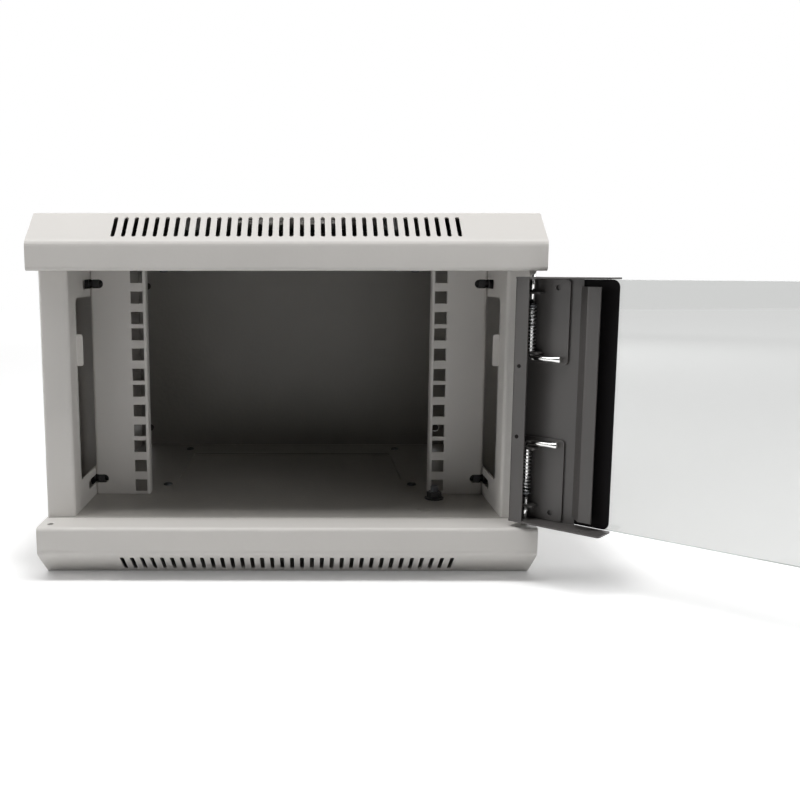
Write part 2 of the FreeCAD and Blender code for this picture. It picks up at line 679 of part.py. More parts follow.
# L-shaped pin: straight shaft with a groove for the clip, bend and handle.
shaft = rod(PIN_R, door_point(0, 0, HANDLE_Z + PIN_BEND), Z_AXIS, PIN_TIP - HANDLE_Z - PIN_BEND)
shaft = shaft.makeChamfer(0.9, [e for e in shaft.Edges if is_ring_at(e, door_point(0, 0, PIN_TIP))])
clip_z = WASHER_Z + WASHER_THICK + 0.1
groove_low = door_point(0, 0, clip_z - 0.05)
shaft = shaft.cut(rod(PIN_R + 1, groove_low, Z_AXIS, 0.9).cut(prism(12, GROOVE_R, groove_low, Z_AXIS, 0.9)))
bend_sections = []
for step in range(BEND_STEPS + 1):
    a = math.radians(90.0 * step / BEND_STEPS)
    centre = door_point(PIN_BEND * (1 - math.cos(a)), 0, HANDLE_Z + PIN_BEND * (1 - math.sin(a)))
    bend_sections.append(pin_section(centre, X_AXIS * math.cos(a) - Z_AXIS * math.sin(a), PIN_R))
tip_start = door_point(HANDLE_END - HANDLE_TIP, 0, HANDLE_Z)
bend_sections.append(pin_section(tip_start, Z_AXIS * -1, PIN_R))
bend_sections.append(pin_section(tip_start - X_AXIS * HANDLE_TIP, Z_AXIS * -1, PIN_R - HANDLE_TIP))
pin = shaft.fuse(tube_of_sections(bend_sections)).removeSplitter()

washer = prism_ring(16, 4.0, PIN_R + 0.1, door_point(0, 0, WASHER_Z), Z_AXIS, WASHER_THICK)
clip = prism_ring(12, 3.3, GROOVE_R + 0.05, door_point(0, 0, clip_z), Z_AXIS, 0.8)
clip = clip.cut(door_box(0, 4, -1.3, 1.3, clip_z - 1, clip_z + 2))

# Spring between the inner ear and the washer: a ruled helix with a three-sided wire.
spring_low = EAR_INNER + EAR_SHEET + SPRING_WIRE_R + 0.05
spring_high = WASHER_Z - SPRING_WIRE_R - 0.05
stations = SPRING_TURNS * SPRING_STEPS
sections = []
for i in range(stations + 1):
    turn = 2 * math.pi * i / SPRING_STEPS
    outward = V(math.cos(turn), math.sin(turn), 0)
    height = spring_low + (spring_high - spring_low) * i / stations
    centre = door_point(0, 0, height) + outward * SPRING_MEAN_R
    section = []
    for k in range(3):
        a = 2 * math.pi * k / 3
        corner = outward * (SPRING_WIRE_R * math.cos(a)) + Z_AXIS * (SPRING_WIRE_R * math.sin(a))
        section.append(centre + corner)
    sections.append(section)
spring = tube_of_sections(sections)

for level, word in ((1, "upper"), (-1, "lower")):
    door["hinge_bracket_" + word] = lower_or_upper(bracket, level)
    door["hinge_pin_" + word] = lower_or_upper(pin, level)
    door["hinge_washer_" + word] = lower_or_upper(washer, level)
    door["hinge_clip_" + word] = lower_or_upper(clip, level)
    door["hinge_spring_" + word] = lower_or_upper(spring, level)

# Cam lock: body with bezel, plug with key slot and square end, nut, cranked cam and its screw.
barrel_end = 20.0
front_face = door_point(LOCK_U, glass_v - 0.05, LOCK_Z)
bezel = prism(24, 11.0, front_face - Y_AXIS * 1.4, Y_AXIS, 1.4)
bezel = bezel.fuse(prism(24, 10.0, front_face - Y_AXIS * 2.0, Y_AXIS, 2.0))
barrel = prism(24, BARREL_R, front_face, Y_AXIS, barrel_end - glass_v + 0.05)
for level in (-1, 1):
    flat_z = LOCK_Z + 8.2 if level > 0 else LOCK_Z - 8.2 - 4
    barrel = barrel.cut(door_box(LOCK_U - 12, LOCK_U + 12, WEB_V + 0.5, barrel_end + 1, flat_z, flat_z + 4))
bore = rod(PLUG_R + 0.06, front_face - Y_AXIS * 3, Y_AXIS, 40)
door["lock_body"] = bezel.fuse(barrel).cut(bore).removeSplitter()

plug_front = front_face - Y_AXIS * 2.3
plug_len = barrel_end + 0.2 - (glass_v - 2.35)
plug = rod(PLUG_R, plug_front, Y_AXIS, plug_len)
plug = plug.fuse(door_box(LOCK_U - 3.5, LOCK_U + 3.5, barrel_end + 0.1, barrel_end + 2.6,
                          LOCK_Z - 3.5, LOCK_Z + 3.5))
plug = plug.cut(door_box(LOCK_U - 0.9, LOCK_U + 0.9, glass_v - 3, glass_v + 14, LOCK_Z - 4.2, LOCK_Z + 4.2))
screw_hole = door_point(LOCK_U, barrel_end - 6, LOCK_Z)
door["lock_plug"] = plug.cut(prism(8, 2.2, screw_hole, Y_AXIS, 12)).removeSplitter()

lock_nut = hexagon(22.0, door_point(LOCK_U, web_face + SHEET + 0.05, LOCK_Z), Y_AXIS, Z_AXIS, 3.0)
door["lock_nut"] = lock_nut.cut(prism(24, BARREL_R + 0.08, door_point(LOCK_U, WEB_V, LOCK_Z), Y_AXIS, 8))

cam_v = barrel_end + 0.35
cam_thick = 2.0
cam_back = WINDOW_Y[0] - HINGE_Y + 0.6
cam = folded(
    [(8.0, cam_v), (-8.5, cam_v), (-8.5, cam_back + cam_thick), (-CAM_TIP, cam_back + cam_thick)],
    -cam_thick, 1.0,
    lambda r, v: V(HINGE_X - LOCK_U + 7.0, HINGE_Y + v, LOCK_Z + r), X_AXIS * -14.0)
door["lock_cam"] = cam.cut(door_box(LOCK_U - 3.6, LOCK_U + 3.6, cam_v - 1, cam_v + 3,
                                    LOCK_Z - 3.6, LOCK_Z + 3.6))
cam_screw_seat = door_point(LOCK_U, cam_v + cam_thick + 0.3, LOCK_Z)
door["cam_screw"] = pan_screw(cam_screw_seat, Y_AXIS * -1, 5.0, 2.2, 2.0, 8.0)

for name, shape in door.items():
    turned = shape.copy()
    turned.rotate(V(HINGE_X, HINGE_Y, 0), Z_AXIS, OPEN_DEG)
    shapes[name] = turned

for name, shape in shapes.items():
    solids = shape.Solids
    result = solids[0] if len(solids) == 1 else Part.makeCompound(solids)
    result.exportStep("parts/" + name + ".step")
    bb = result.BoundBox
    print("%-22s solids %2d valid %s volume %9.1f x %.1f %.1f y %.1f %.1f z %.1f %.1f" % (
        name, len(solids), result.isValid(), result.Volume,
        bb.XMin, bb.XMax, bb.YMin, bb.YMax, bb.ZMin, bb.ZMax))
print("nodes", len(shapes))
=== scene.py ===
# %% [markdown]
# A small wall cabinet for network equipment, its glass door swung wide open.
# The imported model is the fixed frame: every sheet-metal piece stands where it was designed.
# This scene gives each piece its real finish, and adds what is too fine for the model:
# round spring wire, screws with cross recesses, threads and the dark print on the glass.

# %% Load the frame
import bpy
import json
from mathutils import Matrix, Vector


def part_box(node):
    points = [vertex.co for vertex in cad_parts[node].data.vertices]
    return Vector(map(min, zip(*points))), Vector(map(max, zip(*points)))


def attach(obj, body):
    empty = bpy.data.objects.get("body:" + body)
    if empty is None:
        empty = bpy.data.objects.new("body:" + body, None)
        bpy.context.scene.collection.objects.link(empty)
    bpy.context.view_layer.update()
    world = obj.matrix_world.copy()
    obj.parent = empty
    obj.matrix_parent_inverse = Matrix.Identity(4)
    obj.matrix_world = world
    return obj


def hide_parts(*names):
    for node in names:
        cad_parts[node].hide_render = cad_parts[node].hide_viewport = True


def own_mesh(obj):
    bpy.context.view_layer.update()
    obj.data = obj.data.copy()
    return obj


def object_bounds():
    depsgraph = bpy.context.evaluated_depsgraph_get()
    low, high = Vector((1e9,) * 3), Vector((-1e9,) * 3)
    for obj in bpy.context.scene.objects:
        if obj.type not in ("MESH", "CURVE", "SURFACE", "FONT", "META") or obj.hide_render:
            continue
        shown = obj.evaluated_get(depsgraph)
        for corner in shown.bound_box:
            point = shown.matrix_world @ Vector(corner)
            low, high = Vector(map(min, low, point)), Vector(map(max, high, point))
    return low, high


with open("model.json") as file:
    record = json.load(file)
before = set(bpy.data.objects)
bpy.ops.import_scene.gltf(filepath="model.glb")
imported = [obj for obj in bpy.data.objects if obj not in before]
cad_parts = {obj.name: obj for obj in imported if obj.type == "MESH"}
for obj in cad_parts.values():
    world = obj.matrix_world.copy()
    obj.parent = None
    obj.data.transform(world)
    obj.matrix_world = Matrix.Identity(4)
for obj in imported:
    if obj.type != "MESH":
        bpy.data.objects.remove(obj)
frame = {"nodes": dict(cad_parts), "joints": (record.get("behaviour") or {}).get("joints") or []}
cad_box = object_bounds()
nodes = frame["nodes"]

# %% Modules
import json
import math

import bpy
from mathutils import Matrix, Vector

MM = 0.001
print("one millimetre is", MM, "metres")

# %% [markdown]
# Colours are written as the hex values that a paint chart or a picture editor shows.
# Shaders want linear light, so one function turns a hex value into linear numbers.


# %% Colours
def linear(hex_colour):
    # sRGB hex, such as "d6d3cf", to linear red, green, blue and a full alpha, by the sRGB formula.
    channels = []
    for start in (0, 2, 4):
        value = int(hex_colour[start:start + 2], 16) / 255.0
        channels.append(value / 12.92 if value <= 0.04045 else ((value + 0.055) / 1.055) ** 2.4)
    return (*channels, 1.0)


print("light grey in linear light:", [round(c, 3) for c in linear("d6d3cf")[:3]])

# %% [markdown]
# A material is a small graph of nodes. One helper adds a node, sets its inputs and makes its links,
# so that each finish below reads as a short recipe.


# %% A node with its settings and links
def add_node(tree, kind, settings=None, links=None):
    # settings fill attributes or input sockets; links join (node, socket) to an input socket.
    node = tree.nodes.new(kind)
    for key, value in (settings or {}).items():
        if isinstance(key, str) and hasattr(node, key):
            setattr(node, key, value)
        else:
            node.inputs[key].default_value = value
    for key, (source, socket) in (links or {}).items():
        tree.links.new(source.outputs[socket], node.inputs[key])
    return node


def new_material(name):
    # An empty graph with its output node.
    material = bpy.data.materials.new(name)
    material.use_nodes = True
    material.node_tree.nodes.clear()
    output = add_node(material.node_tree, "ShaderNodeOutputMaterial")
    return material, material.node_tree, output


def per_mm(size_mm):
    # Noise scale that makes one lump about size_mm wide.
    return 1.0 / (size_mm * MM)


print("noise scale for a 2.4 mm lump:", round(per_mm(2.4), 1))

# %% [markdown]
# Light grey powder coat: polyester powder is sprayed on dry and baked, so it flows into a satin skin
# with soft bumps about two millimetres wide, called orange peel. An image texture would blur or repeat
# up close, so two noises make the bumps: one for the peel and a finer one for the grain of the powder.
# The real grain is under a tenth of a millimetre, too fine to show, so it is drawn coarser. A third,
# very wide noise lets the shade drift a little across a sheet.

# %% Powder coat
GRAIN_MM = 0.55
GRAIN_HEIGHT_MM = 0.004
DRIFT_MM = 60.0


def powder_coat(name, colour, shade, peel_mm, peel_height_mm, roughness):
    # colour and shade are the two ends of the drift.
    material, tree, output = new_material(name)
    place = add_node(tree, "ShaderNodeTexCoord")
    peel = add_node(tree, "ShaderNodeTexNoise",
                    {"Scale": per_mm(peel_mm), "Detail": 1.5, "Roughness": 0.45},
                    {"Vector": (place, "Object")})
    grain = add_node(tree, "ShaderNodeTexNoise",
                     {"Scale": per_mm(GRAIN_MM), "Detail": 1.0},
                     {"Vector": (place, "Object")})
    drift = add_node(tree, "ShaderNodeTexNoise",
                     {"Scale": per_mm(DRIFT_MM), "Detail": 2.0},
                     {"Vector": (place, "Object")})
    coat_colour = add_node(tree, "ShaderNodeMix",
                           {"data_type": "RGBA", 6: linear(shade), 7: linear(colour)},
                           {0: (drift, "Fac")})
    rough = add_node(tree, "ShaderNodeMapRange",
                     {"From Min": 0.3, "From Max": 0.7,
                      "To Min": roughness - 0.04, "To Max": roughness + 0.05},
                     {"Value": (grain, "Fac")})
    fine = add_node(tree, "ShaderNodeBump",
                    {"Strength": 0.5, "Distance": GRAIN_HEIGHT_MM * MM},
                    {"Height": (grain, "Fac")})
    bumps = add_node(tree, "ShaderNodeBump",
                     {"Strength": 1.0, "Distance": peel_height_mm * MM},
                     {"Height": (peel, "Fac"), "Normal": (fine, "Normal")})
    paint = add_node(tree, "ShaderNodeBsdfPrincipled",
                     {"IOR": 1.5},
                     {"Base Color": (coat_colour, 2), "Roughness": (rough, "Result"),
                      "Normal": (bumps, "Normal")})
    tree.links.new(paint.outputs["BSDF"], output.inputs["Surface"])
    return material


grey_coat = powder_coat("light_grey_powder_coat", "d6d3cf", "d0cdc9",
                        peel_mm=2.4, peel_height_mm=0.05, roughness=0.42)
# The same paint with a coarser peel, made darker as painted shade for the low light inside.
inner_coat_painted_shade = powder_coat("light_grey_powder_coat_painted_shade_inside", "a9a6a1", "a09d98",
                         peel_mm=3.2, peel_height_mm=0.13, roughness=0.36)
dark_coat = powder_coat("graphite_powder_coat", "54514f", "4d4b4a",
                        peel_mm=1.6, peel_height_mm=0.02, roughness=0.40)
print("powder coats:", grey_coat.name, inner_coat_painted_shade.name, dark_coat.name)

# %% [markdown]
# Bright metal pieces: the hinge pins are nickel plated and polished by tumbling. The screws are zinc
# plated, which is duller and slightly blue. On the earth stud, the hinge washers and the screws of the
# cable plates the zinc is rougher and a darker grey; the darker grey is painted shade, for where these
# sit in shadow. The springs are bare drawn wire. All four share one recipe: a metal whose roughness and
# bumps follow one noise, as wide as the marks of handling. A plain roughness without the noise would
# look like computer metal.

# %% Plated metals
MARK_DEPTH_MM = 0.006


def plated_metal(name, colour, roughness, spread, mark_mm):
    # The roughness runs from its lowest value over the spread.
    material, tree, output = new_material(name)
    place = add_node(tree, "ShaderNodeTexCoord")
    marks = add_node(tree, "ShaderNodeTexNoise",
                     {"Scale": per_mm(mark_mm), "Detail": 3.0, "Roughness": 0.6},
                     {"Vector": (place, "Object")})
    rough = add_node(tree, "ShaderNodeMapRange",
                     {"From Min": 0.25, "From Max": 0.75, "To Min": roughness, "To Max": roughness + spread},
                     {"Value": (marks, "Fac")})
    bumps = add_node(tree, "ShaderNodeBump",
                     {"Strength": 0.35, "Distance": MARK_DEPTH_MM * MM},
                     {"Height": (marks, "Fac")})
    metal = add_node(tree, "ShaderNodeBsdfPrincipled",
                     {"Base Color": linear(colour), "Metallic": 1.0},
                     {"Roughness": (rough, "Result"), "Normal": (bumps, "Normal")})
    tree.links.new(metal.outputs["BSDF"], output.inputs["Surface"])
    return material


nickel = plated_metal("polished_nickel_plate", "e6e6e4", roughness=0.08, spread=0.10, mark_mm=0.8)
zinc = plated_metal("blue_zinc_plate", "c3c7cb", roughness=0.26, spread=0.16, mark_mm=0.5)
# Zinc in a darker grey: painted shade for the pieces that sit in shadow.
zinc_painted_shade = plated_metal("zinc_plate_painted_shade", "6f7173", roughness=0.40, spread=0.15, mark_mm=0.5)
spring_wire = plated_metal("spring_steel_wire", "d9dadb", roughness=0.22, spread=0.12, mark_mm=0.3)
print("plated metals:", nickel.name, zinc.name, zinc_painted_shade.name, spring_wire.name)

# %% [markdown]
# The rail bolts, the earth nut and the hinge clips are black oxide: a chemical blackening of the steel
# with a film of oil on it, nearly black, yet it still glints. The layer itself isn't a metal, so it is
# shaded as a dark solid, and a thin clear coat over it stands for the oil.

# %% Black oxide
BLOTCH_MM = 1.2
black_oxide, tree, output = new_material("oiled_black_oxide")
place = add_node(tree, "ShaderNodeTexCoord")
blotch = add_node(tree, "ShaderNodeTexNoise",
                  {"Scale": per_mm(BLOTCH_MM), "Detail": 3.0},
                  {"Vector": (place, "Object")})
oxide_colour = add_node(tree, "ShaderNodeMix",
                        {"data_type": "RGBA", 6: linear("0d0d0e"), 7: linear("1c1c1d")},
                        {0: (blotch, "Fac")})
oxide_rough = add_node(tree, "ShaderNodeMapRange",
                       {"To Min": 0.22, "To Max": 0.42},
                       {"Value": (blotch, "Fac")})
oxide = add_node(tree, "ShaderNodeBsdfPrincipled",
                 {"Coat Weight": 0.5, "Coat Roughness": 0.15, "IOR": 1.6},
                 {"Base Color": (oxide_colour, 2), "Roughness": (oxide_rough, "Result")})
tree.links.new(oxide.outputs["BSDF"], output.inputs["Surface"])
print("black finish:", black_oxide.name)

# %% [markdown]
# The door is a pane of toughened glass, 4 mm thick, with a light grey tint: about seven tenths of the
# light behind it comes through. Its faces are smooth as made, but its rim is ground, so the rim
# scatters light and looks pale and slightly green. Two materials would need the faces of the mesh
# sorted into two slots. One material does it by itself: it looks at the rest normal of the pane, and
# where that points along the door's own thickness the glass is clear, elsewhere it is ground.

# %% Door geometry from the frame
door_joint = next(j for j in frame["joints"] if j["name"] == "door_hinge")
hinge_axis = Vector(door_joint["pos_m"])
closed_turn = math.radians(door_joint["range_deg"][0])
OPEN_TURN = -closed_turn
along_door = Vector((-math.cos(OPEN_TURN), -math.sin(OPEN_TURN), 0))
into_cabinet = Vector((-math.sin(OPEN_TURN), math.cos(OPEN_TURN), 0))
print("door stands open by", round(math.degrees(OPEN_TURN), 1), "degrees")


def door_place(u_mm, v_mm, z_mm):
    # Point from the hinge axis: u to the free side, v towards the inside, z up.
    return hinge_axis + along_door * (u_mm * MM) + into_cabinet * (v_mm * MM) + Vector((0, 0, z_mm * MM))


# %% Glass
FACE_COSINE = 0.7
RIPPLE_MM = 90.0
RIPPLE_HEIGHT_MM = 0.05
GRIT_MM = 0.6
glass, tree, output = new_material("grey_tinted_toughened_glass")
place = add_node(tree, "ShaderNodeTexCoord")
facing = add_node(tree, "ShaderNodeVectorMath",
                  {"operation": "DOT_PRODUCT", 1: tuple(into_cabinet)},
                  {0: (place, "Normal")})
flat_part = add_node(tree, "ShaderNodeMath", {"operation": "ABSOLUTE"}, {0: (facing, "Value")})
is_face = add_node(tree, "ShaderNodeMath",
                   {"operation": "GREATER_THAN", 1: FACE_COSINE},
                   {0: (flat_part, "Value")})
ripple = add_node(tree, "ShaderNodeTexNoise",
                  {"Scale": per_mm(RIPPLE_MM), "Detail": 0.0},
                  {"Vector": (place, "Object")})
wave = add_node(tree, "ShaderNodeBump",
                {"Strength": 0.15, "Distance": RIPPLE_HEIGHT_MM * MM},
                {"Height": (ripple, "Fac")})
clear = add_node(tree, "ShaderNodeBsdfPrincipled",
                 {"Base Color": linear("d2d3d2"), "Roughness": 0.0, "IOR": 1.5, "Transmission Weight": 1.0},
                 {"Normal": (wave, "Normal")})
grit = add_node(tree, "ShaderNodeTexNoise",
                {"Scale": per_mm(GRIT_MM), "Detail": 2.0},
                {"Vector": (place, "Object")})
rim_colour = add_node(tree, "ShaderNodeMix",
                      {"data_type": "RGBA", 6: linear("aebcb6"), 7: linear("dfe8e4")},
                      {0: (grit, "Fac")})
ground_rim = add_node(tree, "ShaderNodeBsdfPrincipled",
                      {"Roughness": 0.35, "IOR": 1.5, "Transmission Weight": 0.25},
                      {"Base Color": (rim_colour, 2)})
pane = add_node(tree, "ShaderNodeMixShader", None,
                {0: (is_face, "Value"), 1: (ground_rim, "BSDF"), 2: (clear, "BSDF")})
tree.links.new(pane.outputs["Shader"], output.inputs["Surface"])
print("glass:", glass.name)

# %% [markdown]
# Every node of the frame gets its finish. The shells, covers, side frames and rails share one coat. The
# back panel, the pans and the cable plates get the same paint with a coarser peel, and darker: that
# darkening is painted shade for the low light inside. One table by node name keeps the whole choice in view.

# %% Finishes of the nodes
FINISHES = {
    "roof_shell": grey_coat, "base_shell": grey_coat,
    "side_frame_left": grey_coat, "side_frame_right": grey_coat,
    "side_cover_left": grey_coat, "side_cover_right": grey_coat,
    "back_panel": inner_coat_painted_shade, "ceiling_pan": inner_coat_painted_shade, "floor_pan": inner_coat_painted_shade,
    "cable_plate_bottom": inner_coat_painted_shade, "cable_plate_top": inner_coat_painted_shade,
    "rail_left": grey_coat, "rail_right": grey_coat,
    "earth_stud": zinc_painted_shade, "earth_washer": black_oxide, "earth_nut": black_oxide,
    "hinge_stile": dark_coat, "lock_stile": dark_coat,
    "hinge_bracket_upper": dark_coat, "hinge_bracket_lower": dark_coat,
    "hinge_pin_upper": nickel, "hinge_pin_lower": nickel,
    "hinge_washer_upper": zinc_painted_shade, "hinge_washer_lower": zinc_painted_shade,
    "hinge_clip_upper": black_oxide, "hinge_clip_lower": black_oxide,
    "hinge_spring_upper": spring_wire, "hinge_spring_lower": spring_wire,
    "rail_bolts_left": black_oxide, "rail_bolts_right": black_oxide,
    "rail_nuts_left": black_oxide, "rail_nuts_right": black_oxide,
    "frame_screws": zinc, "cover_screws": zinc, "cable_plate_screws": zinc_painted_shade, "cam_screw": zinc,
    "door_glass": glass, "lock_body": nickel, "lock_plug": nickel, "lock_nut": zinc, "lock_cam": zinc,
}
for node_name, finish in FINISHES.items():
    mesh = nodes[node_name].data
    if not mesh.materials:
        mesh.materials.append(finish)
    for index in range(len(mesh.materials)):
        mesh.materials[index] = finish
unpainted = sorted(set(nodes) - set(FINISHES))
print("painted", len(FINISHES), "nodes; left over:", unpainted)

# %% [markdown]
# Real sheet metal has no razor edges: shearing and the coat round them by a few tenths of a millimetre,
# and that thin round is what draws a bright line along each edge. A weld joins the corners of the mesh,
# and a bevel of a few tenths then rounds every sharp edge. Last, the normals are weighted by face area:
# the large faces stay flat, which the glass needs most, and only the thin rounds turn the light. As
# modifiers these three leave the frame's own meshes untouched.

# %% Soft edges
WELD_MM = 0.001
EDGE_MM = {"door_glass": 0.35, "roof_shell": 0.45, "base_shell": 0.45}
SHEET_EDGE_MM = 0.22
SHARP = math.radians(38.0)
# These four get new round forms below, so they need no bevel.
ROUND_PIECES = ("hinge_pin_upper", "hinge_pin_lower", "hinge_spring_upper", "hinge_spring_lower")


def soften(item, width_mm):
    weld = item.modifiers.new("weld", "WELD")
    weld.merge_threshold = WELD_MM * MM
    if width_mm > 0:
        bevel = item.modifiers.new("edges", "BEVEL")
        bevel.width = width_mm * MM
        bevel.segments = 2
        bevel.limit_method = "ANGLE"
        bevel.angle_limit = SHARP
        bevel.harden_normals = False
        bevel.use_clamp_overlap = True
        flat = item.modifiers.new("flat_faces", "WEIGHTED_NORMAL")
        flat.mode = "FACE_AREA"
        flat.weight = 50
        flat.keep_sharp = True


for node_name in FINISHES:
    soften(nodes[node_name], 0.0 if node_name in ROUND_PIECES else EDGE_MM.get(node_name, SHEET_EDGE_MM))
print("softened edges on", len(FINISHES), "nodes")

# %% [markdown]
# The pane carries a band of black ceramic ink, screen printed and fired into the glass when it is
# toughened. It hides the glue that holds the steel edge strips. It could be a mask in the glass
# material, but a face of its own gives a crisp edge. Each band is one flat face with its two inner
# corners rounded, laid in the hair of space between glass and strip.

# %% Ink material
SCREEN_MM = 0.4
ink, tree, output = new_material("fired_black_ceramic_ink")
place = add_node(tree, "ShaderNodeTexCoord")
screen = add_node(tree, "ShaderNodeTexNoise",
                  {"Scale": per_mm(SCREEN_MM), "Detail": 2.0},
                  {"Vector": (place, "Object")})
ink_colour = add_node(tree, "ShaderNodeMix",
                      {"data_type": "RGBA", 6: linear("181718"), 7: linear("1f1d1e")},
                      {0: (screen, "Fac")})
ink_rough = add_node(tree, "ShaderNodeMapRange",
                     {"To Min": 0.45, "To Max": 0.6},
                     {"Value": (screen, "Fac")})
enamel = add_node(tree, "ShaderNodeBsdfPrincipled",
                  {"IOR": 1.52, "Specular IOR Level": 0.06},
                  {"Base Color": (ink_colour, 2), "Roughness": (ink_rough, "Result")})
tree.links.new(enamel.outputs["BSDF"], output.inputs["Surface"])
print("ink:", ink.name)

# %% Printed bands
# Pieces are measured in millimetres; u, v and z are those of door_place.
GLASS_HALF = 83.25
INK_V = -5.985
BAND_CORNER = 5.0
CORNER_STEPS = 8
# From the pane's edge to the inner edge of the band.
HINGE_BAND_U = (-6.6, 59.4)
LOCK_BAND_U = (341.6, 278.4)


def piece_from(name, points, faces, finish, smooth=True):
    # A mesh object of this scene, with one material.
    mesh = bpy.data.meshes.new(name)
    mesh.from_pydata([tuple(p) for p in points], [], faces)
    mesh.update()
    if smooth:
        mesh.polygons.foreach_set("use_smooth", [True] * len(mesh.polygons))
    mesh.materials.append(finish)
    item = bpy.data.objects.new(name, mesh)
    bpy.context.scene.collection.objects.link(item)
    return item


def printed_band(name, u_edge, u_inner):
    # From the pane's edge to u_inner, where both corners are rounded.
    side = 1 if u_inner > u_edge else -1
    outline = [(u_edge, -GLASS_HALF), (u_edge, GLASS_HALF)]
    for centre_z, first in ((GLASS_HALF - BAND_CORNER, 90), (BAND_CORNER - GLASS_HALF, 0)):
        for step in range(CORNER_STEPS + 1):
            turn = math.radians(first - step * 90 / CORNER_STEPS)
            outline.append((u_inner - side * BAND_CORNER + side * BAND_CORNER * math.cos(turn),
                            centre_z + BAND_CORNER * math.sin(turn)))
    points = [door_place(u, INK_V, z) for u, z in outline]
    band = piece_from(name, points, [tuple(range(len(points)))], ink, smooth=False)
    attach(band, "door")
    return band


hinge_band = printed_band("ink_band_hinge_side", *HINGE_BAND_U)
lock_band = printed_band("ink_band_lock_side", *LOCK_BAND_U)
print("ink bands:", hinge_band.name, lock_band.name)

# %% [markdown]
# The hinge springs are cold-coiled from round wire. The frame holds a light stand-in with three-sided
# wire, so here the wire is swept round along the same helix: a ring of points is carried along the
# path, square to it, and neighbouring rings are joined by faces. A curve object with a bevel would do
# nearly the same; these few lines also sweep the hinge pins below, with their groove and chamfers.


# %% Sweep a round wire along a path
def ring_faces(rings, sides):
    # Faces that join each ring of points to the next.
    faces = []
    for i in range(rings - 1):
        for k in range(sides):
            m = (k + 1) % sides
            faces.append((i * sides + k, i * sides + m, (i + 1) * sides + m, (i + 1) * sides + k))
    return faces


def swept(path, radii, sides):
    # Points and faces of a closed tube, with one radius for each point of the path.
    count = len(path)
    points = []
    tangent = (path[1] - path[0]).normalized()
    side = tangent.orthogonal().normalized()
    for i, here in enumerate(path):
        ahead = path[min(i + 1, count - 1)] - path[max(i - 1, 0)]
        turned = tangent.rotation_difference(ahead.normalized())
        side = turned @ side
        tangent = ahead.normalized()
        other = tangent.cross(side)
        for k in range(sides):
            angle = 2 * math.pi * k / sides
            points.append(here + (side * math.cos(angle) + other * math.sin(angle)) * radii[i])
    caps = [tuple(range(sides))[::-1], tuple(range((count - 1) * sides, count * sides))]
    return points, caps + ring_faces(count, sides)


print("faces between three rings of ten points:", len(ring_faces(3, 10)))

# %% Coil springs
WIRE_R = 0.45
WIRE_SIDES = 10
COIL_R = 3.0
COIL_LOW = 34.42
COIL_HIGH = 64.18
COIL_TURNS = 12
COIL_STEPS = 28


def coil(word, level):
    # level is 1 for the upper hinge and -1 for the lower one, which is its mirror image.
    path = []
    for i in range(COIL_TURNS * COIL_STEPS + 1):
        share = i / (COIL_TURNS * COIL_STEPS)
        angle = 2 * math.pi * COIL_TURNS * share
        height = COIL_LOW + (COIL_HIGH - COIL_LOW) * share
        wire_middle = Vector((COIL_R * math.cos(angle), COIL_R * math.sin(angle), level * height))
        path.append(hinge_axis + wire_middle * MM)
    points, faces = swept(path, [WIRE_R * MM] * len(path), WIRE_SIDES)
    spring = piece_from("coil_spring_" + word, points, faces, spring_wire)
    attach(spring, "door")
    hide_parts("hinge_spring_" + word)
    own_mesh(spring)
    return spring


springs = [coil("upper", 1), coil("lower", -1)]
print("springs:", [s.name for s in springs], "turns", COIL_TURNS)

# %% [markdown]
# Each door pin is one bent rod: a straight shaft that drops into the shell, an elbow, and a short
# handle for the finger. It is swept in one go from the tip to the handle, smaller at both ends where
# the rod was chamfered, and with the thin groove that holds the clip. Joining a cylinder to a torus
# would leave seams, and one sweep has none.

# %% Door pins
PIN_R = 2.25
PIN_SIDES = 28
PIN_TIP = 94.0
SHAFT_STOPS = (80.0, 50.0)
GROOVE = (65.95, 66.85)
GROOVE_R = 1.82
GROOVE_WALL = 0.01
ELBOW_R = 3.0
ELBOW_STEPS = 12
HANDLE_Z = 29.4
HANDLE_END = 23.3
HANDLE_STRAIGHT = 6.0
# Distance from the end of the rod, and its radius there.
TIP_CHAMFER = ((0.0, 1.2), (0.25, 1.5), (0.95, PIN_R))
HANDLE_CHAMFER = ((0.8, PIN_R), (0.35, PIN_R - 0.25), (0.05, PIN_R - 0.75))


def door_pin(word, level):
    # Each station is the way out from the hinge axis, the height and the radius of the rod.
    stations = [(0.0, PIN_TIP - back, r) for back, r in TIP_CHAMFER]
    stations += [(0.0, SHAFT_STOPS[0], PIN_R),
                 (0.0, GROOVE[1] + GROOVE_WALL, PIN_R), (0.0, GROOVE[1], GROOVE_R),
                 (0.0, GROOVE[0], GROOVE_R), (0.0, GROOVE[0] - GROOVE_WALL, PIN_R),
                 (0.0, SHAFT_STOPS[1], PIN_R)]
    for step in range(ELBOW_STEPS + 1):
        a = math.radians(90 * step / ELBOW_STEPS)
        stations.append((ELBOW_R * (1 - math.cos(a)), HANDLE_Z + ELBOW_R * (1 - math.sin(a)), PIN_R))
    stations.append((HANDLE_END - HANDLE_STRAIGHT, HANDLE_Z, PIN_R))
    stations += [(HANDLE_END - back, HANDLE_Z, r) for back, r in HANDLE_CHAMFER]
    path = [door_place(u, 0.0, level * z) for u, z, r in stations]
    points, faces = swept(path, [r * MM for u, z, r in stations], PIN_SIDES)
    pin = piece_from("door_pin_" + word, points, faces, nickel)
    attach(pin, word + "_pin")
    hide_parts("hinge_pin_" + word)
    return pin


pins = [door_pin("upper", 1), door_pin("lower", -1)]
print("pins:", [p.name for p in pins])

# %% [markdown]
# The sheet parts are held by small pan-head screws with a cross recess. One screw is turned like on a
# lathe: a profile of radius and height is spun round its axis. The recess is pressed in afterwards by
# moving the points of the head that lie inside the cross, so no boolean cut is needed. Its thread is a
# stack of rings and no true helix, because only the outline of a thread shows at this size.


